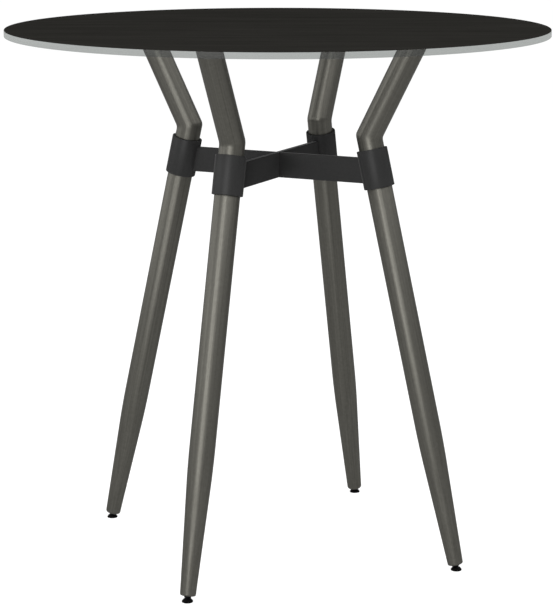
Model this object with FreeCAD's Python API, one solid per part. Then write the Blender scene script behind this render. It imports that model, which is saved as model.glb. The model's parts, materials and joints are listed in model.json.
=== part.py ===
# Bar table: a round glass top with a wood-grain face, carried by four kneed tube legs.
# Each leg is an upper arm and a short knee tube, mitred together, with a tapered leg below.
# A collar sleeves the joint of knee tube and leg, and a cross of two flat bars ties the collars.
# Under each leg a ball-jointed levelling foot screws into the end cap.
# Millimetres, +Z up, origin on the floor under the middle of the top.
# The legs stand on the +X, +Y, -X and -Y axes, called right, back, left and front.

import FreeCAD, Part
import math
import os

# Top
TOP_DIAMETER = 900.0
TABLE_HEIGHT = 893.0
GLASS_THICKNESS = 10.0
GLASS_ARRIS = 0.4
SHEET_THICKNESS = 0.5

# Centre lines of one leg, in its own upright plane
FOOT_RADIUS = 333.2
KNEE_RADIUS = 166.3
ARM_END_RADIUS = 243.9
ARM_RISE = 152.7

# Tubes
TUBE_DIAMETER = 42.0
TUBE_WALL = 2.0
TAPER_LENGTH = 208.0
LEG_END_DIAMETER = 26.0

# Collars and cross
COLLAR_WALL = 4.2
COLLAR_LENGTH = 64.0
COLLAR_DROP = 22.0
COLLAR_BEVEL = 0.8
BAR_HEIGHT = 42.0
BAR_THICKNESS = 10.0
BAR_DROP = 57.8
BAR_CORNER_RADIUS = 1.2

# Fixing of the leg to the knee tube
PLUG_LENGTH = 12.0
STUD_DIAMETER = 10.0
STUD_OVERHANG = 6.0
STUD_BEVEL = 1.0

# Fixing of the glass to the arms
DISC_DIAMETER = 50.0
DISC_THICKNESS = 5.0
DISC_BEVEL = 0.5
DISC_SKIN = 1.0
PLATE_THICKNESS = 3.0
PLATE_MARGIN = 0.5
PLATE_TIP_RADIUS = 16.0
SCREW_REACH = 45.0
SCREW_DIAMETER = 6.0
SCREW_HEAD_DIAMETER = 10.5
SCREW_HEAD_HEIGHT = 3.3
SCREW_HEAD_BEVEL = 1.2
SCREW_TIP_ROOM = 0.5
SCREW_KEY_FLATS = 4.0
SCREW_KEY_DEPTH = 2.0

# Levelling foot
CAP_RIM = 4.0
CAP_ROUND = 3.0
CAP_SPIGOT = 16.0
STEM_DIAMETER = 8.0
STEM_LENGTH = 24.0
STEM_BEVEL = 1.0
HEX_FLATS = 11.0
HEX_HEIGHT = 3.0
NECK_DIAMETER = 3.2
BALL_DIAMETER = 5.6
PAD_DIAMETER = 18.2
PAD_TOP_DIAMETER = 12.6
PAD_RIM = 1.8
PAD_BEVEL = 0.5
PAD_FLOOR = 0.9
SOCKET_LIP_SHARE = 0.45

# Fits and clearances
COLLAR_FIT = 0.2
PLUG_FIT = 0.1
THREAD_FIT = 0.05
SCREW_HOLE_FIT = 0.3
SOCKET_FIT = 0.1
PAD_CLEARANCE = 0.4
LAP_FIT = 0.1
WELD_GAP = 0.1
CUT_OVERRUN = 120.0

SIDES = {"right": 0, "back": 90, "left": 180, "front": 270}
ORIGIN = FreeCAD.Vector(0, 0, 0)
UP = FreeCAD.Vector(0, 0, 1)
HEX_SIDES = 6
HALF_TURN_SHARE = math.sqrt(0.5)  # of a radius, at the middle of a quarter round


def point(radius, height):
    """A point in the upright plane of the right leg."""
    return FreeCAD.Vector(radius, 0, height)


def unit(vector):
    """The direction of a vector."""
    return FreeCAD.Vector(vector).normalize()


# Levels and lines that several pieces share
glass_underside = TABLE_HEIGHT - SHEET_THICKNESS - GLASS_THICKNESS
plate_top = glass_underside - DISC_THICKNESS
arm_end_height = plate_top - PLATE_THICKNESS
knee_height = arm_end_height - ARM_RISE
bar_middle = knee_height - BAR_DROP
knee = point(KNEE_RADIUS, knee_height)
floor_point = point(FOOT_RADIUS, 0)
arm_end = point(ARM_END_RADIUS, arm_end_height)
leg_up = unit(knee - floor_point)
arm_up = unit(arm_end - knee)
mitre_normal = unit(arm_up + leg_up)
leg_axis_length = (knee - floor_point).Length
leg_slope = (FOOT_RADIUS - KNEE_RADIUS) / knee_height

# Radii of the nested round pieces
tube_radius = TUBE_DIAMETER / 2
tube_bore_radius = tube_radius - TUBE_WALL
plug_radius = tube_bore_radius - PLUG_FIT
collar_bore_radius = tube_radius + COLLAR_FIT
collar_radius = collar_bore_radius + COLLAR_WALL
leg_end_radius = LEG_END_DIAMETER / 2
stud_hole_radius = STUD_DIAMETER / 2 + THREAD_FIT
stem_hole_radius = STEM_DIAMETER / 2 + THREAD_FIT
screw_hole_radius = SCREW_DIAMETER / 2 + SCREW_HOLE_FIT
screw_radius = ARM_END_RADIUS - SCREW_REACH

# Heights of the foot, counted from the floor
ball_radius = BALL_DIAMETER / 2
socket_radius = ball_radius + SOCKET_FIT
ball_height = PAD_FLOOR + socket_radius
pad_height = ball_height + socket_radius * SOCKET_LIP_SHARE
hex_corner_radius = HEX_FLATS / math.sqrt(3)

# Places along the leg's axis, counted up from the floor
hex_low = (pad_height + PAD_CLEARANCE + hex_corner_radius * abs(leg_up.x)) / leg_up.z
leg_end = hex_low + HEX_HEIGHT
cap_seat = leg_end + CAP_RIM
taper_top = leg_end + TAPER_LENGTH
collar_top = leg_axis_length - COLLAR_DROP
collar_bottom = collar_top - COLLAR_LENGTH
leg_joint = (collar_top + collar_bottom) / 2


def revolve(*edges):
    """A solid turned about Z from a closed outline of edges, drawn with X as the radius."""
    return Part.Face(Part.Wire(edges)).revolve(ORIGIN, UP, 360)


def lines(*pairs):
    """Straight edges through (radius, height) pairs."""
    places = [point(*pair) for pair in pairs]
    return [Part.makeLine(a, b) for a, b in zip(places, places[1:])]


def arc(*pairs):
    """A round edge through three (radius, height) pairs."""
    return Part.Arc(*[point(*pair) for pair in pairs]).toShape()


def ring(inner, outer, low, high):
    """A plain sleeve about Z."""
    corners = [(inner, low), (outer, low), (outer, high), (inner, high)]
    return revolve(*lines(*corners, corners[0]))


def hexagon_prism(flats, low, high):
    """An upright six-sided bar about Z."""
    corner = FreeCAD.Vector(flats / math.sqrt(3), 0, low)
    turns = [FreeCAD.Rotation(UP, 360 * i / HEX_SIDES) for i in range(HEX_SIDES + 1)]
    outline = Part.makePolygon([turn.multVec(corner) for turn in turns])
    return Part.Face(outline).extrude(UP * (high - low))


def on_axis(shape, base, direction):
    """The shape moved from the Z axis onto another axis."""
    moved = shape.copy()
    moved.Placement = FreeCAD.Placement(base, FreeCAD.Rotation(UP, direction))
    return moved


def on_leg(shape):
    """The shape moved from the Z axis onto the right leg's axis, with its floor end at zero."""
    return on_axis(shape, floor_point, leg_up)


def beyond(place, normal):
    """A block that fills the space past a plane, to cut with."""
    corner = FreeCAD.Vector(-CUT_OVERRUN, -CUT_OVERRUN, 0)
    block = Part.makeBox(2 * CUT_OVERRUN, 2 * CUT_OVERRUN, 2 * CUT_OVERRUN, corner)
    return on_axis(block, place, normal)


def turned(shape, angle):
    """A copy of a right-hand piece, turned to another side of the table."""
    copy = shape.copy()
    copy.rotate(ORIGIN, UP, angle)
    return copy


def glass_top():
    """The glass disc, with a ground arris round both edges."""
    radius = TOP_DIAMETER / 2
    low, high = glass_underside, glass_underside + GLASS_THICKNESS
    outline = [
        (0, low),
        (radius - GLASS_ARRIS, low),
        (radius, low + GLASS_ARRIS),
        (radius, high - GLASS_ARRIS),
        (radius - GLASS_ARRIS, high),
        (0, high),
        (0, low),
    ]
    return revolve(*lines(*outline))


def wood_grain_sheet():
    """The thin decorative sheet bonded on the glass, as wide as the glass is flat."""
    return ring(0, TOP_DIAMETER / 2 - GLASS_ARRIS, TABLE_HEIGHT - SHEET_THICKNESS, TABLE_HEIGHT)


def glass_disc():
    """The disc bonded under the glass, with a blind threaded hole for the screw."""
    radius, hole = DISC_DIAMETER / 2, SCREW_DIAMETER / 2 + THREAD_FIT
    hole_top = glass_underside - DISC_SKIN
    outline = [
        (hole, plate_top),
        (radius - DISC_BEVEL, plate_top),
        (radius, plate_top + DISC_BEVEL),
        (radius, glass_underside),
        (0, glass_underside),
        (0, hole_top),
        (hole, hole_top),
        (hole, plate_top),
    ]
    return on_axis(revolve(*lines(*outline)), point(screw_radius, 0), UP)


def arm_plate():
    """The plate on the arm's end: a drop-shaped tongue that reaches inwards to the screw."""
    big = tube_radius / arm_up.z + PLATE_MARGIN
    lean = math.acos((big - PLATE_TIP_RADIUS) / SCREW_REACH)
    across = FreeCAD.Vector(-math.cos(lean), math.sin(lean), 0)
    mirrored = FreeCAD.Vector(across.x, -across.y, 0)
    tip = point(screw_radius, arm_end_height)
    start, end = arm_end + across * big, tip + across * PLATE_TIP_RADIUS
    back, close = tip + mirrored * PLATE_TIP_RADIUS, arm_end + mirrored * big
    outline = Part.Wire(
        [
            Part.makeLine(start, end),
            Part.Arc(end, tip + FreeCAD.Vector(-PLATE_TIP_RADIUS, 0, 0), back).toShape(),
            Part.makeLine(back, close),
            Part.Arc(close, arm_end + FreeCAD.Vector(big, 0, 0), start).toShape(),
        ]
    )
    plate = Part.Face(outline).extrude(UP * PLATE_THICKNESS)
    return plate.cut(Part.makeCylinder(screw_hole_radius, PLATE_THICKNESS, tip))


def plate_screw():
    """The socket screw that holds the plate to the disc, from below."""
    shank, head = SCREW_DIAMETER / 2, SCREW_HEAD_DIAMETER / 2
    low = arm_end_height - SCREW_HEAD_HEIGHT
    high = glass_underside - DISC_SKIN - SCREW_TIP_ROOM
    outline = [
        (0, low),
        (head - SCREW_HEAD_BEVEL, low),
        (head, low + SCREW_HEAD_BEVEL),
        (head, arm_end_height),
        (shank, arm_end_height),
        (shank, high),
        (0, high),
        (0, low),
    ]
    key = hexagon_prism(SCREW_KEY_FLATS, low, low + SCREW_KEY_DEPTH)
    return on_axis(revolve(*lines(*outline)).cut(key), point(screw_radius, 0), UP)


def arm_tube():
    """The upper arm, mitred at the knee and cut level at its top."""
    length = (arm_end - knee).Length
    tube = ring(tube_bore_radius, tube_radius, -CUT_OVERRUN / 2, length + CUT_OVERRUN / 2)
    tube = on_axis(tube, knee, arm_up)
    return tube.cut(beyond(knee, -mitre_normal)).cut(beyond(arm_end, UP))


def knee_tube():
    """The short tube below the mitre, whose lower end stands halfway down the collar."""
    tube = on_leg(ring(tube_bore_radius, tube_radius, leg_joint, leg_axis_length + CUT_OVERRUN / 2))
    return tube.cut(beyond(knee, mitre_normal))


def collar():
    """The sleeve round the joint of knee tube and leg."""
    outline = [
        (collar_bore_radius, collar_bottom),
        (collar_radius - COLLAR_BEVEL, collar_bottom),
        (collar_radius, collar_bottom + COLLAR_BEVEL),
        (collar_radius, collar_top - COLLAR_BEVEL),
        (collar_radius - COLLAR_BEVEL, collar_top),
        (collar_bore_radius, collar_top),
        (collar_bore_radius, collar_bottom),
    ]
    return on_leg(revolve(*lines(*outline)))


def knee_plug():
    """The threaded plug in the lower end of the knee tube."""
    return on_leg(ring(stud_hole_radius, plug_radius, leg_joint, leg_joint + PLUG_LENGTH))


def leg_plug():
    """The threaded plug in the upper end of the leg."""
    return on_leg(ring(stud_hole_radius, plug_radius, leg_joint - PLUG_LENGTH, leg_joint))


def leg_stud():
    """The threaded stud that draws the leg up against the knee tube."""
    radius, reach = STUD_DIAMETER / 2, PLUG_LENGTH + STUD_OVERHANG
    low, high = leg_joint - reach, leg_joint + reach
    outline = [
        (0, low),
        (radius - STUD_BEVEL, low),
        (radius, low + STUD_BEVEL),
        (radius, high - STUD_BEVEL),
        (radius - STUD_BEVEL, high),
        (0, high),
        (0, low),
    ]
    return on_leg(revolve(*lines(*outline)))


def leg_tube():
    """The lower leg, straight at first and tapered towards the foot."""
    outline = [
        (tube_radius, leg_joint),
        (tube_radius, taper_top),
        (leg_end_radius, cap_seat),
        (leg_end_radius - TUBE_WALL, cap_seat),
        (tube_bore_radius, taper_top),
        (tube_bore_radius, leg_joint),
        (tube_radius, leg_joint),
    ]
    return on_leg(revolve(*lines(*outline)))


def foot_cap():
    """The end cap of the leg: a rounded rim and a spigot, threaded right through."""
    spigot = leg_end_radius - TUBE_WALL - PLUG_FIT
    flat = leg_end_radius - CAP_ROUND
    middle = CAP_ROUND * HALF_TURN_SHARE
    spigot_top = cap_seat + CAP_SPIGOT
    edges = lines((stem_hole_radius, leg_end), (flat, leg_end))
    edges.append(
        arc(
            (flat, leg_end),
            (flat + middle, leg_end + CAP_ROUND - middle),
            (leg_end_radius, leg_end + CAP_ROUND),
        )
    )
    edges += lines(
        (leg_end_radius, leg_end + CAP_ROUND),
        (leg_end_radius, cap_seat),
        (spigot, cap_seat),
        (spigot, spigot_top),
        (stem_hole_radius, spigot_top),
        (stem_hole_radius, leg_end),
    )
    return on_leg(revolve(*edges))


def foot_stem():
    """The threaded stem, with a hexagon to turn it by and a ball that the pad snaps onto."""
    shank, neck = STEM_DIAMETER / 2, NECK_DIAMETER / 2
    ball = ball_height / leg_up.z
    neck_low = ball + math.sqrt(ball_radius**2 - neck**2)
    top = leg_end + STEM_LENGTH
    edges = [arc((0, ball - ball_radius), (ball_radius, ball), (neck, neck_low))]
    edges += lines(
        (neck, neck_low),
        (neck, leg_end),
        (shank, leg_end),
        (shank, top - STEM_BEVEL),
        (shank - STEM_BEVEL, top),
        (0, top),
        (0, ball - ball_radius),
    )
    stem = revolve(*edges).fuse(hexagon_prism(HEX_FLATS, hex_low, leg_end))
    return on_leg(stem.removeSplitter())


def foot_pad():
    """The flared pad, level on the floor, with a ball socket that wraps past the ball's middle."""
    radius, bottom = PAD_DIAMETER / 2, ball_height - socket_radius
    lip = pad_height - ball_height
    mouth = math.sqrt(socket_radius**2 - lip**2)
    edges = lines(
        (0, bottom),
        (0, 0),
        (radius - PAD_BEVEL, 0),
        (radius, PAD_BEVEL),
        (radius, PAD_RIM),
        (PAD_TOP_DIAMETER / 2, pad_height),
        (mouth, pad_height),
    )
    edges.append(arc((mouth, pad_height), (socket_radius, ball_height), (0, bottom)))
    return on_axis(revolve(*edges), point(FOOT_RADIUS - ball_height * leg_slope, 0), UP)


def rounded_bar(half_length):
    """A flat bar along X at the height of the cross, with softened long edges."""
    corner = FreeCAD.Vector(-half_length, -BAR_THICKNESS / 2, bar_middle - BAR_HEIGHT / 2)
    bar = Part.makeBox(2 * half_length, BAR_THICKNESS, BAR_HEIGHT, corner)
    long_edges = [edge for edge in bar.Edges if edge.BoundBox.XLength > half_length]
    return bar.makeFillet(BAR_CORNER_RADIUS, long_edges)


def cross_bar(notch_above):
    """One bar of the cross: coped onto two collars and notched for the other bar."""
    bar = rounded_bar(KNEE_RADIUS + BAR_DROP * leg_slope)
    sleeve = on_leg(Part.makeCylinder(collar_radius + WELD_GAP, leg_axis_length))
    for angle in (SIDES["right"], SIDES["left"]):
        bar = bar.cut(turned(sleeve, angle))
    width = BAR_THICKNESS + 2 * LAP_FIT
    low = bar_middle if notch_above else bar_middle - BAR_HEIGHT
    corner = FreeCAD.Vector(-width / 2, -BAR_THICKNESS, low)
    return bar.cut(Part.makeBox(width, 2 * BAR_THICKNESS, BAR_HEIGHT, corner))


def save(name, shape):
    """Write one piece to its file."""
    shape.exportStep(f"parts/{name}.step")


def main():
    """Build every piece and write it at its place in the table."""
    os.makedirs("parts", exist_ok=True)
    save("glass_top", glass_top())
    save("wood_grain_sheet", wood_grain_sheet())
    save("cross_bar_left_right", cross_bar(notch_above=True))
    save("cross_bar_front_back", turned(cross_bar(notch_above=False), SIDES["back"]))
    per_leg = [
        glass_disc,
        arm_plate,
        arm_tube,
        knee_tube,
        collar,
        knee_plug,
        leg_stud,
        leg_plug,
        leg_tube,
        foot_cap,
        foot_stem,
        foot_pad,
    ]
    for build in per_leg:
        piece = build()
        for side, angle in SIDES.items():
            save(f"{build.__name__}_{side}", turned(piece, angle))
    screw = plate_screw()
    save("plate_screws", Part.makeCompound([turned(screw, angle) for angle in SIDES.values()]))


main()
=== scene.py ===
"""Bar table: a round glass top with a wood-grain face, on four kneed gunmetal legs.

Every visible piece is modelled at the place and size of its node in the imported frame.
Metres, +Z up, the floor at zero. Round pieces are turned about Z first and then set on their line.
"""

import json
import logging
import math
from contextlib import contextmanager
from dataclasses import dataclass
from enum import Enum
from typing import Any, Callable, Iterator, Sequence

import bmesh
import bpy
from mathutils import Matrix, Vector


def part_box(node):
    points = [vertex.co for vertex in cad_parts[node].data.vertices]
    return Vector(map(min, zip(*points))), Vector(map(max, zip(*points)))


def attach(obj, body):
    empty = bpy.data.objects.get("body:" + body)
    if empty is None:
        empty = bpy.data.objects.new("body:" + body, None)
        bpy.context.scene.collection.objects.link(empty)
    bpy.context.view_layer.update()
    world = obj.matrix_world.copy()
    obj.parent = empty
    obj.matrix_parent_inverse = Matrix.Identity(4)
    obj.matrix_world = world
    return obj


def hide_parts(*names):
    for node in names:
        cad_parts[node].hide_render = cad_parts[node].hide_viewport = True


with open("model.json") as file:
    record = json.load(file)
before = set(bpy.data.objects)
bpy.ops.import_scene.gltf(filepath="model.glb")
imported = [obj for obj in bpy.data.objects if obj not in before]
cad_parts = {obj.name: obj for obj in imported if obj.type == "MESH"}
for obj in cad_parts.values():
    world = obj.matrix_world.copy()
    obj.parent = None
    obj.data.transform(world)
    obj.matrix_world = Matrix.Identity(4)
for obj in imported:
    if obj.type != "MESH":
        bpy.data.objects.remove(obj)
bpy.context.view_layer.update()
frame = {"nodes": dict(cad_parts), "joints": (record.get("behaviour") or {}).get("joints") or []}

FRAME_BODY = "frame"
GRAIN_PLACE = "grain_place"  # a point's place before its piece is set on its line
GRAIN_SHIFT = 1.0  # metres along the grain between the four sides, so that no two legs match
UP = Vector((0, 0, 1))
ON_FLOOR = Vector((1, 1, 0))  # times a point, drops its height
TINY = 1e-6  # metres within which points are one
NEAR = 2e-5  # metres within which a node's point is on a plane
SMOOTH_ANGLE = math.radians(32)
FULL_TURN = 2 * math.pi
QUARTER_TURN = math.pi / 2
ROUND_STEPS = 128
SMALL_STEPS = 64
HEXAGON = 6
THROUGH = 3  # how many times a cutter is as long as what it goes through
PER_METRE = 1000.0  # millimetres in a metre, which turns a size in millimetres into a scale
WATTS_PER_RADIANCE = 4.0  # for each square metre of an area lamp
WHITE = "#ffffff"
SHADER = "Principled BSDF"
MIX_A, MIX_B, MIX_OUT = 6, 7, 2  # a Mix node's colour sockets, which share their names with its others

Piece = bpy.types.Object
Tree = bpy.types.NodeTree
Socket = bpy.types.NodeSocket
Colour = tuple[float, float, float, float]
Test = Callable[[Vector], bool]
Outline = Sequence[tuple[float, float]]

log = logging.getLogger("bar_table")


class Side(Enum):
    """The four sides that a leg stands on, by their turn about Z in degrees."""

    RIGHT = 0
    BACK = 90
    LEFT = 180
    FRONT = 270

    @property
    def label(self) -> str:
        """The side's name as the nodes spell it."""
        return self.name.lower()

    @property
    def turn(self) -> Matrix:
        """The turn from the right-hand side to this one."""
        return Matrix.Rotation(math.radians(self.value), 4, "Z")


class Pick(Enum):
    """The kinds of mesh element that can be selected."""

    EDGES = "EDGE"
    FACES = "FACE"


class Carving(Enum):
    """What a second piece does to the first."""

    CUTS = "DIFFERENCE"
    JOINS = "UNION"


@dataclass(frozen=True)
class Rounding:
    """How an edge is softened: how far the rounding reaches, and its facets."""

    width: float
    facets: int


def start(adder: Callable[..., Any], name: str, **settings: Any) -> Piece:
    """Add a primitive, with everything else deselected.

    Args:
        adder: The operator that adds the primitive.
        name: The new piece's name.
        settings: The operator's own settings.

    Returns:
        The new piece.
    """
    bpy.ops.object.select_all(action="DESELECT")
    adder(**settings)
    piece = bpy.context.object
    piece.name = name
    piece.data.name = name
    return piece


def choose(piece: Piece) -> None:
    """Make a piece the only selected one.

    Args:
        piece: The piece to select.
    """
    bpy.ops.object.select_all(action="DESELECT")
    piece.select_set(True)
    bpy.context.view_layer.objects.active = piece


@contextmanager
def editing(piece: Piece) -> Iterator[None]:
    """Edit one piece's mesh, with nothing selected at the start.

    Args:
        piece: The piece to edit.
    """
    choose(piece)
    bpy.ops.object.mode_set(mode="EDIT")
    bpy.ops.mesh.select_mode(type="VERT")
    bpy.ops.mesh.select_all(action="DESELECT")
    yield
    bpy.ops.object.mode_set(mode="OBJECT")


def pick(piece: Piece, kind: Pick, test: Test) -> None:
    """Select the edges or faces whose corners all pass a test.

    Args:
        piece: The piece in edit mode.
        kind: What to select.
        test: What each corner has to pass.
    """
    bpy.ops.mesh.select_mode(type=kind.value)
    bpy.ops.mesh.select_all(action="DESELECT")
    mesh = bmesh.from_edit_mesh(piece.data)
    for element in mesh.edges if kind is Pick.EDGES else mesh.faces:
        element.select_set(all(test(corner.co) for corner in element.verts))
    mesh.select_flush_mode()
    bmesh.update_edit_mesh(piece.data)


def rim_at(level: float, radius: float = 0.0) -> Test:
    """A test for the points at a height, no nearer to the Z axis than a radius."""
    return lambda p: abs(p.z - level) < TINY and p.xy.length > radius - TINY


def close_up() -> None:
    """Merge the doubles of the mesh in edit mode and turn its faces outwards."""
    bpy.ops.mesh.select_all(action="SELECT")
    bpy.ops.mesh.remove_doubles(threshold=TINY)
    bpy.ops.mesh.normals_make_consistent(inside=False)


def cut_off(place: Vector, normal: Vector, fill: bool = False) -> None:
    """Cut away what lies past a plane of the mesh in edit mode, and fill the cut or leave it open."""
    bpy.ops.mesh.select_all(action="SELECT")
    bpy.ops.mesh.bisect(plane_co=place, plane_no=normal, clear_outer=True, use_fill=fill, threshold=TINY)


def draw(name: str, outline: Outline) -> Piece:
    """Draw an outline point by point, in the plane of X and Z.

    Args:
        name: The new piece's name.
        outline: Pairs of radius and height.

    Returns:
        The outline, as a piece without faces.
    """
    places = [Vector((radius, 0, height)) for radius, height in outline]
    piece = start(bpy.ops.mesh.primitive_plane_add, name, size=1)
    with editing(piece):
        bpy.ops.mesh.select_all(action="SELECT")
        bpy.ops.mesh.merge(type="CENTER")
        bpy.ops.transform.translate(value=places[0])
        for here, there in zip(places, places[1:]):
            bpy.ops.mesh.extrude_region_move(TRANSFORM_OT_translate={"value": there - here})
    return piece


def lathe(name: str, outline: Outline, steps: int = ROUND_STEPS) -> Piece:
    """Turn an outline about Z.

    Args:
        name: The new piece's name.
        outline: Pairs of radius and height, which close on themselves or on the axis.
        steps: How many facets the round has.

    Returns:
        The closed piece, still upright on Z.
    """
    piece = draw(name, outline)
    with editing(piece):
        bpy.ops.mesh.select_all(action="SELECT")
        bpy.ops.mesh.spin(steps=steps, angle=FULL_TURN, center=(0, 0, 0), axis=UP)
        close_up()
    return piece


def arc(middle: float, radius: float, first: float, last: float, steps: int) -> list[tuple[float, float]]:
    """The points of a round stretch of an outline.

    Args:
        middle: The height of the arc's centre, which lies on the axis.
        radius: The arc's radius.
        first: The first point's angle above the level, in radians.
        last: The last point's angle.
        steps: How many chords the arc has.

    Returns:
        Pairs of radius and height.
    """
    angles = [first + (last - first) * step / steps for step in range(steps + 1)]
    return [(max(0.0, radius * math.cos(a)), middle + radius * math.sin(a)) for a in angles]


def soften(piece: Piece, test: Test, rounding: Rounding) -> None:
    """Round the edges whose two ends pass a test.

    Args:
        piece: The piece to round.
        test: What both ends of an edge have to pass.
        rounding: How the edges are softened.
    """
    with editing(piece):
        pick(piece, Pick.EDGES, test)
        bpy.ops.mesh.bevel(offset=rounding.width, segments=rounding.facets, affect="EDGES")


def carve(piece: Piece, other: Piece, carving: Carving = Carving.CUTS) -> None:
    """Cut a piece with another, or join the two, and use the other one up.

    Args:
        piece: The piece that stays.
        other: The piece that is used up.
        carving: What the other piece does.
    """
    modifier = piece.modifiers.new("carve", "BOOLEAN")
    modifier.operation = carving.value
    modifier.solver = "EXACT"
    modifier.object = other
    choose(piece)
    bpy.ops.object.modifier_apply(modifier=modifier.name)
    bpy.data.objects.remove(other)


def keep_grain(piece: Piece, place: Callable[[Vector], Vector] = Vector) -> None:
    """Note where each point lies along and across its tube, for the brushing to follow.

    Args:
        piece: The piece, before it is set on its line.
        place: Turns a point into its place in the grain.
    """
    noted = piece.data.attributes.new(GRAIN_PLACE, "FLOAT_VECTOR", "POINT")
    for item, corner in zip(noted.data, piece.data.vertices):
        item.vector = place(corner.co)


def set_on(piece: Piece, placement: Matrix) -> None:
    """Move a piece to its place and put that place into its mesh.

    Args:
        piece: The piece to move.
        placement: Where it goes.
    """
    choose(piece)
    piece.matrix_world = placement
    bpy.ops.object.transform_apply(location=True, rotation=True, scale=True)


def cylinder(name: str, steps: int, radius: float, height: float, placement: Matrix) -> Piece:
    """Add a cylinder in its place, to shape further or to carve with.

    Args:
        name: The new piece's name.
        steps: How many sides it has.
        radius: Its radius, out to the corners.
        height: Its height along its own axis.
        placement: Where its middle goes.

    Returns:
        The cylinder.
    """
    piece = start(bpy.ops.mesh.primitive_cylinder_add, name, vertices=steps, radius=radius, depth=height)
    set_on(piece, placement)
    return piece


def middle_of(node: str, test: Test) -> Vector:
    """The middle of the box round the points of a node that pass a test."""
    points = [p.co for p in frame["nodes"][node].data.vertices if test(p.co)]
    return Vector([(min(axis) + max(axis)) / 2 for axis in zip(*points)])


@dataclass(frozen=True)
class Line:
    """A centre line of the frame, which round pieces are turned about."""

    base: Vector
    up: Vector

    @property
    def placement(self) -> Matrix:
        """What carries the Z axis onto this line."""
        return Matrix.Translation(self.base) @ UP.rotation_difference(self.up).to_matrix().to_4x4()

    def along(self, point: Vector) -> float:
        """How far up the line a point lies."""
        return (point - self.base).dot(self.up)

    def at(self, distance: float) -> Vector:
        """The point at a distance up the line."""
        return self.base + self.up * distance

    def off(self, point: Vector) -> float:
        """How far from the line a point lies."""
        return (point - self.at(self.along(point))).length

    def span(self, node: str) -> tuple[float, float]:
        """The lowest and highest place of a node along this line."""
        places = [self.along(p.co) for p in frame["nodes"][node].data.vertices]
        return min(places), max(places)

    def girth(self, node: str) -> float:
        """The largest radius of a node about this line."""
        return max(self.off(p.co) for p in frame["nodes"][node].data.vertices)


# The right leg's line runs up from the floor along its foot's screw, through the middle of the ball.
RIGHT_SCREW = next(joint for joint in frame["joints"] if joint["name"] == "foot_right_turn")
BALL = Vector(RIGHT_SCREW["pos_m"])
LEG_UP = -Vector(RIGHT_SCREW["axis"]).normalized()
LEG_LINE = Line(BALL - LEG_UP * (BALL.z / LEG_UP.z), LEG_UP)
TABLE_LINE = Line(Vector((0, 0, 0)), UP)


def linear(hex_colour: str) -> Colour:
    """Turn an sRGB hex colour into linear light."""
    channels = [int(hex_colour[i : i + 2], 16) / 255 for i in (1, 3, 5)]
    return (*[c / 12.92 if c <= 0.04045 else ((c + 0.055) / 1.055) ** 2.4 for c in channels], 1.0)


def grey(level: float) -> Colour:
    """A grey of one linear level."""
    return (level, level, level, 1.0)


def add_node(
    tree: Tree, kind: str, inputs: dict[str | int, Any] | None = None, **settings: Any
) -> bpy.types.Node:
    """Add a node with its settings and links.

    Args:
        tree: The node tree to add to.
        kind: The node's type.
        inputs: What goes into each input: another node's output, or else a fixed value.
        settings: Properties of the node itself.

    Returns:
        The new node.
    """
    node = tree.nodes.new(kind)
    for key, value in settings.items():
        setattr(node, key, value)
    for key, value in (inputs or {}).items():
        if isinstance(value, Socket):
            tree.links.new(value, node.inputs[key])
        else:
            node.inputs[key].default_value = value
    return node


@dataclass(frozen=True)
class Finish:
    """A surface finish, and the record's slot that it belongs to."""

    name: str  # never the slot's name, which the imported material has
    slot: str

    def material(self) -> bpy.types.Material:
        """Make the finish's material the first time it is asked for.

        Returns:
            The material.
        """
        made = bpy.data.materials.get(self.name)
        if made is None:
            made = bpy.data.materials.new(self.name)
            made.use_nodes = True
            for socket, value in self.constants().items():
                made.node_tree.nodes[SHADER].inputs[socket].default_value = value
            self.paint(made.node_tree)
        return made

    def constants(self) -> dict[str, Any]:
        """What is the same all over the surface, by the shader's sockets."""
        raise NotImplementedError

    def paint(self, tree: Tree) -> None:
        """Lay the finish's pattern.

        Args:
            tree: The material's node tree.
        """
        raise NotImplementedError


@dataclass(frozen=True)
class Grained(Finish):
    """A finish whose grain shows in its colour, its roughness and its relief."""

    dark: str
    light: str
    rough_dark: float
    rough_light: float
    depth_mm: float
    relief: float

    def lay(self, tree: Tree, tone: Socket, gloss: Socket, height: Socket) -> None:
        """Lay the grain into the shader.

        Args:
            tree: The material's node tree.
            tone: What the colour follows, from dark at 0 to light at 1.
            gloss: What the roughness follows, in the same way.
            height: What the relief follows.
        """
        colours = {"Factor": tone, MIX_A: linear(self.dark), MIX_B: linear(self.light)}
        colour = add_node(tree, "ShaderNodeMix", colours, data_type="RGBA")
        roughs = {"Value": gloss, "To Min": self.rough_dark, "To Max": self.rough_light}
        rough = add_node(tree, "ShaderNodeMapRange", roughs)
        heights = {"Height": height, "Strength": self.relief, "Distance": self.depth_mm / PER_METRE}
        bump = add_node(tree, "ShaderNodeBump", heights)
        shader = tree.nodes[SHADER]
        tree.links.new(colour.outputs[MIX_OUT], shader.inputs["Base Color"])
        tree.links.new(rough.outputs[0], shader.inputs["Roughness"])
        tree.links.new(bump.outputs[0], shader.inputs["Normal"])


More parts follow.
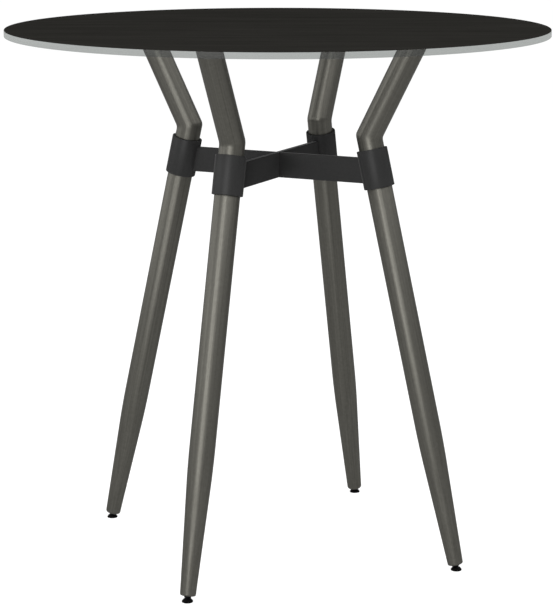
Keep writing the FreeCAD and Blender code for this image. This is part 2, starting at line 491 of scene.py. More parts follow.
@dataclass(frozen=True)
class GunmetalLacquer(Grained):
    """Steel tube brushed lengthwise under a satin gunmetal lacquer.

    The metal in the lacquer gives a warm grey that flashes in one soft stripe down each tube,
    and the brushing under it shows as faint streaks along the tube.
    """

    name: str = "gunmetal_lacquer_on_brushed_steel"
    slot: str = "gunmetal_tube"
    dark: str = "#31302c"
    light: str = "#565550"
    rough_dark: float = 0.46
    rough_light: float = 0.34
    depth_mm: float = 0.02
    relief: float = 0.35
    metallic: float = 0.9
    edge_tint: float = 0.5
    streak_width_mm: float = 2.4  # real brushing is finer: it is drawn as coarse as it needs to show
    streak_length_mm: float = 320.0
    streak_detail: float = 3.0
    streak_share: float = 0.7
    mottle_mm: float = 5.0
    mottle_detail: float = 2.0

    def constants(self) -> dict[str, Any]:
        """The metal in the lacquer."""
        return {"Metallic": self.metallic, "Specular Tint": grey(self.edge_tint)}

    def paint(self, tree: Tree) -> None:
        """Lay streaks along the tube and a soft mottle.

        Args:
            tree: The material's node tree.
        """
        place = add_node(tree, "ShaderNodeAttribute", attribute_name=GRAIN_PLACE).outputs["Vector"]
        across, along = PER_METRE / self.streak_width_mm, PER_METRE / self.streak_length_mm
        drawn_out = add_node(tree, "ShaderNodeMapping", {"Vector": place, "Scale": (across, across, along)})
        streaks = add_node(
            tree,
            "ShaderNodeTexNoise",
            {"Vector": drawn_out.outputs[0], "Scale": 1.0, "Detail": self.streak_detail},
        ).outputs[0]
        mottle = add_node(
            tree,
            "ShaderNodeTexNoise",
            {"Vector": place, "Scale": PER_METRE / self.mottle_mm, "Detail": self.mottle_detail},
        ).outputs[0]
        shares = {"Factor": self.streak_share, "A": mottle, "B": streaks}
        pattern = add_node(tree, "ShaderNodeMix", shares).outputs[0]
        self.lay(tree, pattern, pattern, streaks)


@dataclass(frozen=True)
class Speckled(Grained):
    """A finish with one fine grain, evenly over the whole surface."""

    metallic: float
    specular: float
    grain_mm: float
    edge_tint: float = 1.0
    sheen: float = 0.0
    detail: float = 3.0
    detail_share: float = 0.6

    def constants(self) -> dict[str, Any]:
        """How much of a metal it is, and its gloss and sheen."""
        return {
            "Metallic": self.metallic,
            "Specular IOR Level": self.specular,
            "Specular Tint": grey(self.edge_tint),
            "Sheen Weight": self.sheen,
        }

    def paint(self, tree: Tree) -> None:
        """Lay the grain.

        Args:
            tree: The material's node tree.
        """
        grain = add_node(
            tree,
            "ShaderNodeTexNoise",
            {
                "Vector": add_node(tree, "ShaderNodeTexCoord").outputs["Object"],
                "Scale": PER_METRE / self.grain_mm,
                "Detail": self.detail,
                "Roughness": self.detail_share,
            },
        ).outputs[0]
        self.lay(tree, grain, grain, grain)


@dataclass(frozen=True)
class ClearGlass(Finish):
    """Toughened float glass.

    The edge is a pale grey-green band that shows the legs behind it straight, under a glassy sheen.
    """

    name: str = "toughened_float_glass"
    slot: str = "clear_glass"
    tint: str = "#adb1af"
    tint_deep: str = "#a8adab"
    coat: float = 0.1
    coat_rough: float = 0.03
    body_ior: float = 1.0  # the band shows what is behind it unbent, so the coat carries the gloss of glass
    coat_ior: float = 1.5
    cloud_mm: tuple[float, float, float] = (60.0, 60.0, 60.0)
    cloud_detail: float = 1.0

    def constants(self) -> dict[str, Any]:
        """A clear body under a glossy skin."""
        return {
            "Roughness": 0.0,
            "IOR": self.body_ior,
            "Transmission Weight": 1.0,
            "Coat Weight": self.coat,
            "Coat Roughness": self.coat_rough,
            "Coat IOR": self.coat_ior,
        }

    def paint(self, tree: Tree) -> None:
        """Let the tint drift very slightly.

        Args:
            tree: The material's node tree.
        """
        place = add_node(tree, "ShaderNodeTexCoord").outputs["Object"]
        scale = [PER_METRE / size for size in self.cloud_mm]
        drawn_out = add_node(tree, "ShaderNodeMapping", {"Vector": place, "Scale": scale})
        cloud = add_node(
            tree,
            "ShaderNodeTexNoise",
            {"Vector": drawn_out.outputs[0], "Scale": 1.0, "Detail": self.cloud_detail},
        )
        tints = {"Factor": cloud.outputs[0], MIX_A: linear(self.tint_deep), MIX_B: linear(self.tint)}
        colour = add_node(tree, "ShaderNodeMix", tints, data_type="RGBA")
        tree.links.new(colour.outputs[MIX_OUT], tree.nodes[SHADER].inputs["Base Color"])


@dataclass(frozen=True)
class WoodGrainLaminate(Grained):
    """Near-black laminate pressed with a fine straight wood grain.

    It is dead matt: the eye gets long thin streaks and a few open pores, only just lighter or darker.
    """

    name: str = "pressed_wood_grain_laminate"
    slot: str = "wood_grain_laminate"
    dark: str = "#171715"
    light: str = "#282725"
    rough_dark: float = 0.95
    rough_light: float = 0.8
    depth_mm: float = 0.08
    relief: float = 0.25
    specular: float = 0.0
    grain_turn_deg: float = 25.84
    streak_width_mm: float = 12.0  # a printed streak is finer: it is drawn as coarse as it needs to show
    streak_length_mm: float = 260.0
    pore_width_mm: float = 1.4
    pore_length_mm: float = 60.0
    pore_share: float = 0.45
    contrast: tuple[float, float] = (0.3, 0.7)
    detail: float = 4.0
    detail_share: float = 0.6
    waver: float = 0.3

    def constants(self) -> dict[str, Any]:
        """No gloss."""
        return {"Specular IOR Level": self.specular}

    def paint(self, tree: Tree) -> None:
        """Lay broad streaks and fine pores, both drawn out along the grain.

        Args:
            tree: The material's node tree.
        """
        place = add_node(tree, "ShaderNodeTexCoord").outputs["Object"]
        turn = (0, 0, -math.radians(self.grain_turn_deg))
        turned = add_node(tree, "ShaderNodeMapping", {"Vector": place, "Rotation": turn}).outputs[0]
        layers = []
        for width, length in (
            (self.streak_width_mm, self.streak_length_mm),
            (self.pore_width_mm, self.pore_length_mm),
        ):
            scale = (PER_METRE / length, PER_METRE / width, PER_METRE / width)
            drawn_out = add_node(tree, "ShaderNodeMapping", {"Vector": turned, "Scale": scale})
            layer = add_node(
                tree,
                "ShaderNodeTexNoise",
                {
                    "Vector": drawn_out.outputs[0],
                    "Scale": 1.0,
                    "Detail": self.detail,
                    "Roughness": self.detail_share,
                    "Distortion": self.waver,
                },
            )
            layers.append(layer.outputs[0])
        streaks, pores = layers
        shares = {"Factor": self.pore_share, "A": streaks, "B": pores}
        pattern = add_node(tree, "ShaderNodeMix", shares).outputs[0]
        low, high = self.contrast
        clear = add_node(
            tree, "ShaderNodeMapRange", {"Value": pattern, "From Min": low, "From Max": high}
        ).outputs[0]
        self.lay(tree, clear, pores, pores)


GUNMETAL = GunmetalLacquer()
GLASS = ClearGlass()
LAMINATE = WoodGrainLaminate()
# The ground rim: the same glass under a satin veil, with faint lines along the edge from the wheel.
GLASS_EDGE = ClearGlass(
    name="satin_ground_glass_edge",
    tint="#a2a4a2",
    tint_deep="#9da09e",
    coat=0.26,
    coat_rough=0.5,
    cloud_mm=(90.0, 90.0, 1.5),
)
# Flaked powder baked on steel: a soft black whose fine metal flake lifts it where the light falls.
# The flake is drawn as coarse as it needs to show.
BLACK_POWDER_COAT = Speckled(
    name="satin_black_powder_coat",
    slot="black_powder_coat",
    dark="#272727",
    light="#303030",
    rough_dark=0.36,
    rough_light=0.46,
    depth_mm=0.03,
    relief=0.25,
    metallic=0.37,
    specular=0.0,
    grain_mm=2.2,
    edge_tint=0.0,
    sheen=0.09,
)
# Moulded nylon: a deep dull black with the fine grain of a spark-eroded mould.
BLACK_NYLON = Speckled(
    name="moulded_black_nylon",
    slot="black_nylon",
    dark="#050505",
    light="#0b0b0b",
    rough_dark=0.5,
    rough_light=0.66,
    depth_mm=0.02,
    relief=0.3,
    metallic=0.0,
    specular=0.03,
    grain_mm=0.5,
    edge_tint=0.2,
)
# Zinc plate, black passivated: an almost black metal with a dull oily gleam.
BLACK_ZINC = Speckled(
    name="black_passivated_zinc",
    slot="black_zinc",
    dark="#0a0a0b",
    light="#131314",
    rough_dark=0.32,
    rough_light=0.44,
    depth_mm=0.01,
    relief=0.2,
    metallic=0.9,
    specular=0.1,
    grain_mm=0.8,
    edge_tint=0.25,
)
# Zinc plate: a pale grey metal with a faintly clouded gleam.
ZINC_PLATE = Speckled(
    name="bright_zinc_plate",
    slot="zinc_steel",
    dark="#a3a4a6",
    light="#c2c3c4",
    rough_dark=0.24,
    rough_light=0.38,
    depth_mm=0.01,
    relief=0.15,
    metallic=1.0,
    specular=0.5,
    grain_mm=2.5,
)
# Turned aluminium, black anodised: a dark skin with the dull bloom of the oxide.
ANODISED_ALUMINIUM = Speckled(
    name="black_anodised_aluminium",
    slot="aluminium_disc",
    dark="#1b1b1c",
    light="#262627",
    rough_dark=0.4,
    rough_light=0.52,
    depth_mm=0.01,
    relief=0.15,
    metallic=0.6,
    specular=0.3,
    grain_mm=0.9,
)


def hand_over(piece: Piece, finish: Finish, body: str, *nodes: str) -> None:
    """Give a finished piece its finish and its body, and hide the nodes that it stands for.

    Args:
        piece: The piece, in its place.
        finish: Its surface finish.
        body: The body that it moves with.
        nodes: The nodes that it stands for.
    """
    choose(piece)
    bpy.ops.object.shade_smooth_by_angle(angle=SMOOTH_ANGLE)
    piece.data.materials.clear()
    piece.data.materials.append(finish.material())
    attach(piece, body)
    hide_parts(*nodes)
    log.info("%s: %d faces, %s, rides on %s", piece.name, len(piece.data.polygons), finish.name, body)


def spread(master: Piece, finish: Finish, *nodes: str, body: str = FRAME_BODY) -> None:
    """Copy a right-hand piece to the four sides, each with its own mesh.

    Args:
        master: The right-hand piece, in its place.
        finish: Its surface finish.
        nodes: The nodes that it stands for, with a gap for the side.
        body: The body that it moves with, with a gap for the side.
    """
    stem = master.name
    for index, side in enumerate(Side):
        choose(master)
        bpy.ops.object.duplicate()
        piece = bpy.context.object
        piece.name = f"{stem}_{side.label}"
        piece.data.name = piece.name
        set_on(piece, side.turn)
        if GRAIN_PLACE in piece.data.attributes:
            for item in piece.data.attributes[GRAIN_PLACE].data:
                item.vector = item.vector + UP * (index * GRAIN_SHIFT)
        hand_over(piece, finish, body.format(side.label), *[node.format(side.label) for node in nodes])
    bpy.data.objects.remove(master)


@dataclass
class TableTop:
    """The glass disc and the wood-grain sheet bonded on it."""

    rim_steps: int = 360
    glass_arris: Rounding = Rounding(0.0004, 3)
    sheet_arris: Rounding = Rounding(0.00015, 3)
    bond_gap: float = 0.00002
    flat_border: float = 0.003

    def build(self) -> None:
        """Make and dress both discs."""
        glass = self.disc("polished_glass", "glass_top", self.glass_arris, 0.0)
        hand_over(glass, GLASS, FRAME_BODY, "glass_top")
        self.dress_rim(glass)
        glass.visible_glossy = False  # the arms mirror the light above the top, as in the photograph
        sheet = self.disc("grained_sheet", "wood_grain_sheet", self.sheet_arris, self.bond_gap)
        hand_over(sheet, LAMINATE, FRAME_BODY, "wood_grain_sheet")
        sheet.visible_glossy = False

    def dress_rim(self, glass: Piece) -> None:
        """Give the rim of the glass its ground finish.

        Args:
            glass: The glass disc.
        """
        inside = TABLE_LINE.girth("glass_top") - 2 * self.glass_arris.width
        glass.data.materials.append(GLASS_EDGE.material())
        glass.active_material_index = 1
        with editing(glass):
            pick(glass, Pick.FACES, lambda p: p.xy.length > inside)
            bpy.ops.object.material_slot_assign()

    def disc(self, name: str, node: str, arris: Rounding, gap: float) -> Piece:
        """A round slab with softened rims and flat faces.

        Args:
            name: The new piece's name.
            node: The node that it follows.
            arris: How its rims are softened.
            gap: How far its underside is kept off what it lies on.

        Returns:
            The slab.
        """
        low, high = TABLE_LINE.span(node)
        low += gap
        middle = Matrix.Translation(UP * (low + high) / 2)
        piece = cylinder(name, self.rim_steps, TABLE_LINE.girth(node), high - low, middle)
        for level in (low, high):
            soften(piece, rim_at(level), arris)
        with editing(piece):
            pick(piece, Pick.FACES, lambda p: min(abs(p.z - low), abs(p.z - high)) < TINY)
            bpy.ops.mesh.inset(thickness=self.flat_border)
        return piece


@dataclass
class KneedLeg:
    """One leg: the arm and knee tube welded at the mitre, the tapered leg and its end cap."""

    tube_wall: float = 0.002
    taper_length: float = 0.208
    cap_thread_radius: float = 0.00405
    spigot_fit: float = 0.0001
    overrun: float = 0.06
    knee_round: Rounding = Rounding(0.004, 5)
    taper_round: Rounding = Rounding(0.03, 6)
    joint_bevel: Rounding = Rounding(0.0005, 2)
    cap_round: Rounding = Rounding(0.003, 8)

    def build(self) -> None:
        """Make the leg's pieces once, and dress them on all four sides."""
        self.kneed_arm()
        self.lower_leg()
        self.end_cap()

    def kneed_arm(self) -> None:
        """The arm and the knee tube as one welded and ground piece."""
        low, high = LEG_LINE.span("knee_tube_right")
        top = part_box("arm_tube_right")[1].z
        knee = middle_of("knee_tube_right", lambda p: LEG_LINE.along(p) > low + NEAR)
        arm_end = middle_of("arm_tube_right", lambda p: p.z > top - NEAR)
        arm = Line(knee, (arm_end - knee).normalized())
        mitre = (LEG_LINE.up + arm.up).normalized()
        radius = LEG_LINE.girth("knee_tube_right")
        piece = start(bpy.ops.mesh.primitive_circle_add, "kneed_arm", vertices=ROUND_STEPS, radius=radius)
        with editing(piece):
            bpy.ops.mesh.primitive_circle_add(vertices=ROUND_STEPS, radius=radius - self.tube_wall)
        set_on(piece, LEG_LINE.placement @ Matrix.Translation(UP * low))
        with editing(piece):
            bpy.ops.mesh.select_all(action="SELECT")
            rise = LEG_LINE.up * (high - low + self.overrun)
            bpy.ops.mesh.extrude_region_move(TRANSFORM_OT_translate={"value": rise})
            cut_off(knee, mitre)
            pick(piece, Pick.EDGES, lambda p: abs((p - knee).dot(mitre)) < NEAR)
            reach = arm.up * (arm.along(arm_end) + self.overrun)
            bpy.ops.mesh.extrude_region_move(TRANSFORM_OT_translate={"value": reach})
            cut_off(UP * top, UP)
            for end in (lambda p: abs(LEG_LINE.along(p) - low) < NEAR, lambda p: abs(p.z - top) < NEAR):
                pick(piece, Pick.EDGES, end)
                bpy.ops.mesh.fill()
            close_up()

        def on_outer_mitre(p: Vector) -> bool:
            """Whether a point is on the outer ring of the mitre."""
            return abs((p - knee).dot(mitre)) < NEAR and LEG_LINE.off(p) > radius - self.tube_wall / 2

        def in_grain(p: Vector) -> Vector:
            """A point's place across and along whichever tube it is on."""
            line = arm if (p - knee).dot(mitre) > 0 else Line(knee, LEG_LINE.up)
            return line.placement.inverted() @ p

        soften(piece, on_outer_mitre, self.knee_round)
        keep_grain(piece, in_grain)
        spread(piece, GUNMETAL, "arm_tube_{}", "knee_tube_{}")

    def lower_leg(self) -> None:
        """The straight leg with its tapered end."""
        low, high = LEG_LINE.span("leg_tube_right")
        radius, end = LEG_LINE.girth("leg_tube_right"), LEG_LINE.girth("foot_cap_right")
        taper_top = LEG_LINE.span("foot_cap_right")[0] + self.taper_length
        outline = [(radius, high), (radius, taper_top), (end, low)]
        inside = [(r - self.tube_wall, height) for r, height in reversed(outline)]
        piece = lathe("tapered_leg", [*outline, *inside, outline[0]])
        soften(piece, rim_at(taper_top, end), self.taper_round)
        soften(piece, rim_at(high, radius), self.joint_bevel)
        keep_grain(piece)
        set_on(piece, LEG_LINE.placement)
        spread(piece, GUNMETAL, "leg_tube_{}")

    def end_cap(self) -> None:
        """The rounded cap that closes the leg, with its spigot and threaded hole."""
        low, high = LEG_LINE.span("foot_cap_right")
        rim, radius = LEG_LINE.span("leg_tube_right")[0], LEG_LINE.girth("foot_cap_right")
        hole, spigot = self.cap_thread_radius, radius - self.tube_wall - self.spigot_fit
        outside = [(hole, low), (radius, low), (radius, rim), (spigot, rim), (spigot, high)]
        piece = lathe("leg_end_cap", [*outside, (hole, high), outside[0]])
        soften(piece, rim_at(low, radius), self.cap_round)
        keep_grain(piece)
        set_on(piece, LEG_LINE.placement)
        spread(piece, GUNMETAL, "foot_cap_{}")


@dataclass
class CrossBrace:
    """The black collars and the half-lapped cross of flat bars between them."""

    collar_fit: float = 0.0002
    collar_bevel: Rounding = Rounding(0.0009, 3)
    bar_corner: Rounding = Rounding(0.0012, 4)
    weld_gap: float = 0.0001
    lap_fit: float = 0.0001

    def build(self) -> None:
        """Make and dress the collars and both bars."""
        self.collar()
        self.bar("cross_bar_left_right", Side.RIGHT, notch_above=True)
        self.bar("cross_bar_front_back", Side.BACK, notch_above=False)

    def collar(self) -> None:
        """The sleeve below a knee, with softened rims."""
        low, high = LEG_LINE.span("collar_right")
        radius = LEG_LINE.girth("collar_right")
        bore = LEG_LINE.girth("knee_tube_right") + self.collar_fit
        outline = [(bore, low), (radius, low), (radius, high), (bore, high), (bore, low)]
        piece = lathe("coated_collar", outline)
        for level in (low, high):
            soften(piece, rim_at(level), self.collar_bevel)
        set_on(piece, LEG_LINE.placement)
        spread(piece, BLACK_POWDER_COAT, "collar_{}")

    def bar(self, node: str, side: Side, notch_above: bool) -> None:
        """One flat bar: softened, coped onto its collars and notched for the other bar.

        Args:
            node: The node that it follows.
            side: The side that it is turned to at the end, from along X.
            notch_above: Whether the notch opens upwards.
        """
        low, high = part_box(node)
        thick, tall = min(high.x - low.x, high.y - low.y), high.z - low.z
        middle = (low.z + high.z) / 2
        up_leg = middle / LEG_LINE.up.z
        length = 2 * LEG_LINE.at(up_leg).x
        piece = start(bpy.ops.mesh.primitive_cube_add, f"{node}_coated", size=1)
        set_on(piece, Matrix.Translation(UP * middle) @ Matrix.Diagonal((length, thick, tall, 1)))
        soften(piece, lambda p: True, self.bar_corner)  # the copes then take the ends away
        radius = LEG_LINE.girth("collar_right") + self.weld_gap
        for end in (Side.RIGHT, Side.LEFT):
            placement = end.turn @ LEG_LINE.placement @ Matrix.Translation(UP * up_leg)
            carve(piece, cylinder("sleeve", ROUND_STEPS, radius, THROUGH * tall, placement))
        notch = start(bpy.ops.mesh.primitive_cube_add, "notch", size=1)
        lap = UP * (middle + (tall / 2 if notch_above else -tall / 2))
        width = thick + 2 * self.lap_fit
        set_on(notch, Matrix.Translation(lap) @ Matrix.Diagonal((width, THROUGH * thick, tall, 1)))
        carve(piece, notch)
        set_on(piece, side.turn)
        hand_over(piece, BLACK_POWDER_COAT, FRAME_BODY, node)


@dataclass
class GlassFixing:
    """What holds the glass: the bonded discs, the plates on the arms and their screws."""

    disc_bevel: Rounding = Rounding(0.0005, 3)
    thread_radius: float = 0.00305
    disc_skin: float = 0.001
    tip_radius: float = 0.016
    plate_bevel: Rounding = Rounding(0.0004, 2)
    screw_hole_radius: float = 0.0033
    shank_radius: float = 0.003
    head_height: float = 0.0033
    head_bevel: Rounding = Rounding(0.0008, 4)
    key_radius: float = 0.0023
    key_depth: float = 0.002

    @property
    def line(self) -> Line:
        """The upright line through the right-hand disc and screw."""
        return Line(middle_of("glass_disc_right", lambda p: True) * ON_FLOOR, UP)

    def build(self) -> None:
        """Make the three pieces once, and dress them on all four sides."""
        self.disc()
        self.plate()
        self.screw()

    def disc(self) -> None:
        """The disc bonded under the glass, with its blind threaded hole."""
        low, high = TABLE_LINE.span("glass_disc_right")
        radius, hole = self.line.girth("glass_disc_right"), self.thread_radius
        hole_top = high - self.disc_skin
        inside = [(0, hole_top), (hole, hole_top), (hole, low)]
        piece = lathe("bonded_disc", [*inside, (radius, low), (radius, high), (0, high)], SMALL_STEPS)
        soften(piece, rim_at(low, radius), self.disc_bevel)
        set_on(piece, Matrix.Translation(self.line.base))
        spread(piece, ANODISED_ALUMINIUM, "glass_disc_{}")

    def plate(self) -> None:
        """The drop-shaped plate on the arm's end, with its screw hole."""
        low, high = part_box("arm_plate_right")
        big, thick = high.y, high.z - low.z
        arm_end = Vector((high.x - big, 0, low.z))
        tip = Vector((self.line.base.x, 0, low.z))
        add_circle = bpy.ops.mesh.primitive_circle_add
        piece = start(add_circle, "arm_end_plate", vertices=SMALL_STEPS, radius=big)
        set_on(piece, Matrix.Translation(arm_end))
        with editing(piece):
            add_circle(vertices=SMALL_STEPS, radius=self.tip_radius, location=tip)
            bpy.ops.mesh.select_all(action="SELECT")
            bpy.ops.mesh.convex_hull()
            bpy.ops.mesh.select_all(action="SELECT")
            bpy.ops.mesh.dissolve_limited()
            bpy.ops.mesh.extrude_region_move(TRANSFORM_OT_translate={"value": UP * thick})
            close_up()
        for level in (low.z, high.z):
            soften(piece, rim_at(level), self.plate_bevel)
        placement = Matrix.Translation(tip)
        carve(piece, cylinder("hole", SMALL_STEPS, self.screw_hole_radius, THROUGH * thick, placement))
        keep_grain(piece)
        spread(piece, GUNMETAL, "arm_plate_{}")

    def screw(self) -> None:
        """The socket screw, from below."""
        low, high = TABLE_LINE.span("plate_screws")
        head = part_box("plate_screws")[1].x - self.line.base.x
        seat = low + self.head_height
        shank = self.shank_radius
        outline = [(0, low), (head, low), (head, seat), (shank, seat), (shank, high), (0, high)]
        piece = lathe("socket_screw", outline, SMALL_STEPS)
        soften(piece, rim_at(low, head), self.head_bevel)
        placement = Matrix.Translation(UP * low)
        carve(piece, cylinder("key", HEXAGON, self.key_radius, 2 * self.key_depth, placement))
        set_on(piece, Matrix.Translation(self.line.base))
        spread(piece, ZINC_PLATE, "plate_screws")


@dataclass
class LevellingFoot:
    """The levelling foot: a threaded stem with a hexagon and ball, and the flared pad on the ball."""

    ball_radius: float = 0.0028
    ball_steps: int = 18
    socket_radius: float = 0.0029
    socket_steps: int = 12
    neck_radius: float = 0.0016
    hex_bevel: Rounding = Rounding(0.0004, 3)
    thread_pitch: float = 0.00125
    thread_crest: float = 0.004
    thread_depth_share: float = 0.6
    thread_root_share: float = 1 / 8
    thread_crest_shares: tuple[float, float] = (7 / 16, 9 / 16)
    thread_steps: int = 36
    spare_turns: int = 2
    pad_rim: float = 0.0018
    pad_top_radius: float = 0.0063
    pad_bevel: Rounding = Rounding(0.0005, 3)

    def build(self) -> None:
        """Make both pieces once, and dress them on all four sides."""
        self.stem()
        self.pad()

    def stem(self) -> None:
        """The stem: ball, neck, hexagon and thread, fused."""
        top = LEG_LINE.span("foot_stem_right")[1]
        hex_top = LEG_LINE.span("foot_cap_right")[0]
        corner = LEG_LINE.girth("foot_stem_right")
        points = [p.co for p in frame["nodes"]["foot_stem_right"].data.vertices]
        hex_low = min(LEG_LINE.along(p) for p in points if LEG_LINE.off(p) > corner - NEAR)
        inside = (hex_low + hex_top) / 2
        neck_angle = math.acos(self.neck_radius / self.ball_radius)
        ball = arc(LEG_LINE.along(BALL), self.ball_radius, -QUARTER_TURN, neck_angle, self.ball_steps)
        piece = lathe("levelling_stem", [*ball, (self.neck_radius, inside), (0, inside)], SMALL_STEPS)
        hexagon = cylinder("hexagon", HEXAGON, corner, hex_top - hex_low, Matrix.Translation(UP * inside))
        soften(hexagon, lambda p: True, self.hex_bevel)
        carve(piece, hexagon, Carving.JOINS)
        carve(piece, self.thread(inside, top), Carving.JOINS)
        set_on(piece, LEG_LINE.placement)
        spread(piece, BLACK_ZINC, "foot_stem_{}", body="foot_stem_{}")

    def thread(self, low: float, high: float) -> Piece:
        """A rod with a real helical thread.

        Args:
            low: Where the rod begins along the leg.
            high: Where it ends.

        Returns:
            The rod, still upright on Z.
        """
        pitch, crest = self.thread_pitch, self.thread_crest
        root = crest - pitch * self.thread_depth_share
        begin = low - self.spare_turns * pitch
        rise, fall = self.thread_crest_shares
        form = [(root, 0), (root, self.thread_root_share), (crest, rise), (crest, fall), (root, 1)]
        rod = draw("thread", [(radius, begin + share * pitch) for radius, share in form])
        helix = rod.modifiers.new("helix", "SCREW")
        helix.axis = "Z"
        helix.screw_offset = pitch
        helix.iterations = math.ceil((high - begin) / pitch) + self.spare_turns
        helix.steps = helix.render_steps = self.thread_steps
        helix.use_merge_vertices = True
        helix.merge_threshold = TINY
        choose(rod)
        bpy.ops.object.modifier_apply(modifier=helix.name)
        with editing(rod):
            close_up()
            cut_off(UP * low, -UP, fill=True)
            cut_off(UP * high, UP, fill=True)
            close_up()
        return rod

    def pad(self) -> None:
        """The flared pad with its ball socket, level on the floor."""
        line = Line(BALL * ON_FLOOR, UP)
        low, high = line.span("foot_pad_right")
        radius = line.girth("foot_pad_right")
        lip = math.asin((high - BALL.z) / self.socket_radius)
        outside = [(0, low), (radius, low), (radius, self.pad_rim), (self.pad_top_radius, high)]
        socket = arc(BALL.z, self.socket_radius, lip, -QUARTER_TURN, self.socket_steps)
        piece = lathe("levelling_pad", [*outside, *socket], SMALL_STEPS)
        soften(piece, rim_at(low, radius), self.pad_bevel)
        set_on(piece, Matrix.Translation(line.base))
        spread(piece, BLACK_NYLON, "foot_pad_{}", body="foot_pad_{}")


@dataclass
class HiddenJoints:
    """The plugs and studs inside the tubes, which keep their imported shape."""

    stems: tuple[str, ...] = ("knee_plug", "leg_plug", "leg_stud")

    def build(self) -> None:
        """Give each of them its finish."""
        for stem in self.stems:
            for side in Side:
                node = frame["nodes"][f"{stem}_{side.label}"]
                node.data.materials.clear()
                node.data.materials.append(ZINC_PLATE.material())
                log.info("%s: keeps its shape, %s", node.name, ZINC_PLATE.name)


@dataclass(frozen=True)
class SoftBox:
    """A soft box, by its place round the camera's line and its brightness."""

    name: str
    azimuth_deg: float
    distance: float
    height: float
    width: float
    tall: float
    radiance: float
    aim_height: float

    def hang(self, camera_azimuth: float) -> None:
        """Hang the box so that it faces the table's middle line.

        Args:
            camera_azimuth: The camera's azimuth in radians.
        """
        angle = camera_azimuth + math.radians(self.azimuth_deg)
        lamp = bpy.data.lights.new(self.name, "AREA")
        lamp.shape = "RECTANGLE"
        lamp.size, lamp.size_y = self.width, self.tall
        lamp.energy = WATTS_PER_RADIANCE * self.radiance * self.width * self.tall
        box = bpy.data.objects.new(self.name, lamp)
        bpy.context.scene.collection.objects.link(box)
        box.location = (self.distance * math.sin(angle), -self.distance * math.cos(angle), self.height)
        box.rotation_euler = (UP * self.aim_height - box.location).to_track_quat("-Z", "Y").to_euler()
        box.visible_camera = False
        box.visible_transmission = False
        log.info("%s: radiance %.2f", self.name, self.radiance)


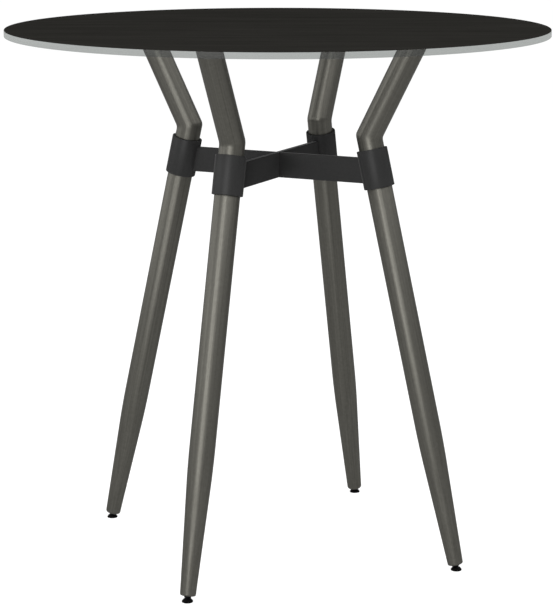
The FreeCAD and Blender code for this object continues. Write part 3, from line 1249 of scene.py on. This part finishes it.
@dataclass
class Studio:
    """The pale floor, the white surround, the soft boxes and the camera."""

    floor_size: float = 30.0
    floor_cuts: int = 4
    floor_glow: float = 0.71
    floor_albedo: float = 0.37
    ambient: float = 0.8
    camera_azimuth_deg: float = 25.84
    camera_distance: float = 3.51596
    camera_height: float = 1.17431
    camera_pitch: float = 0.211
    camera_lens_mm: float = 124.54
    camera_shift: tuple[float, float] = (-0.00198, 0.00082)
    boxes: tuple[SoftBox, ...] = (
        SoftBox("front_box", -16.5, 3.0, height=2.42, width=1.7, tall=4.8, radiance=4.6, aim_height=2.42),
        SoftBox("left_wall", -95.0, 2.6, height=1.5, width=4.4, tall=1.9, radiance=1.7, aim_height=1.5),
        SoftBox("right_wall", 48.0, 2.8, height=3.0, width=3.8, tall=2.0, radiance=1.9, aim_height=0.8),
        SoftBox("back_box", 115.0, 2.8, height=2.2, width=2.6, tall=1.4, radiance=1.8, aim_height=0.8),
    )

    def build(self) -> None:
        """Lay the floor, light the table and set the camera."""
        bpy.context.scene.view_settings.view_transform = "Standard"
        self.surround()
        self.floor()
        azimuth = math.radians(self.camera_azimuth_deg)
        for box in self.boxes:
            box.hang(azimuth)
        self.camera(azimuth)

    def seen_directly(self, tree: Tree) -> Socket:
        """A value of 1 for what the camera sees, straight, mirrored or through glass.

        Args:
            tree: The node tree to add to.

        Returns:
            The value's socket.
        """
        path = add_node(tree, "ShaderNodeLightPath")
        seen = path.outputs["Is Camera Ray"]
        for ray in ("Is Glossy Ray", "Is Transmission Ray"):
            either = {0: seen, 1: path.outputs[ray]}
            seen = add_node(tree, "ShaderNodeMath", either, operation="MAXIMUM").outputs[0]
        return seen

    def surround(self) -> None:
        """The white world: full strength where it is seen, softer as light on the table."""
        world = bpy.data.worlds.new("white_surround")
        bpy.context.scene.world = world
        world.use_nodes = True
        tree = world.node_tree
        strengths = {"Value": self.seen_directly(tree), "To Min": self.ambient, "To Max": 1.0}
        strength = add_node(tree, "ShaderNodeMapRange", strengths)
        white = tree.nodes["Background"]
        white.inputs["Color"].default_value = linear(WHITE)
        tree.links.new(strength.outputs[0], white.inputs["Strength"])

    def floor(self) -> None:
        """The pale floor, which glows where it is seen and still takes the table's shadow."""
        floor = start(bpy.ops.mesh.primitive_plane_add, "studio_floor", size=self.floor_size)
        with editing(floor):
            bpy.ops.mesh.select_all(action="SELECT")
            bpy.ops.mesh.subdivide(number_cuts=self.floor_cuts)
        paper = bpy.data.materials.new("pale_studio_floor")
        paper.use_nodes = True
        tree = paper.node_tree
        shader = tree.nodes[SHADER]
        glows = {"Value": self.seen_directly(tree), "To Max": self.floor_glow}
        glow = add_node(tree, "ShaderNodeMapRange", glows)
        shader.inputs["Base Color"].default_value = grey(self.floor_albedo)
        shader.inputs["Roughness"].default_value = 1.0
        shader.inputs["Specular IOR Level"].default_value = 0.0
        shader.inputs["Emission Color"].default_value = linear(WHITE)
        tree.links.new(glow.outputs[0], shader.inputs["Emission Strength"])
        floor.data.materials.append(paper)

    def camera(self, azimuth: float) -> None:
        """Set the camera at the photograph's viewing angle.

        Args:
            azimuth: Its azimuth in radians.
        """
        lens = bpy.data.cameras.new("camera")
        lens.lens = self.camera_lens_mm
        lens.shift_x, lens.shift_y = self.camera_shift
        camera = bpy.data.objects.new("camera", lens)
        bpy.context.scene.collection.objects.link(camera)
        camera.location = (
            self.camera_distance * math.sin(azimuth),
            -self.camera_distance * math.cos(azimuth),
            self.camera_height,
        )
        camera.rotation_euler = (QUARTER_TURN - self.camera_pitch, 0, azimuth)
        bpy.context.scene.camera = camera


def main() -> None:
    """Build the table and its studio."""
    logging.basicConfig(level=logging.INFO, format="%(message)s")
    for assembly in (
        TableTop(),
        KneedLeg(),
        CrossBrace(),
        GlassFixing(),
        LevellingFoot(),
        HiddenJoints(),
        Studio(),
    ):
        assembly.build()


if __name__ == "__main__":
    main()
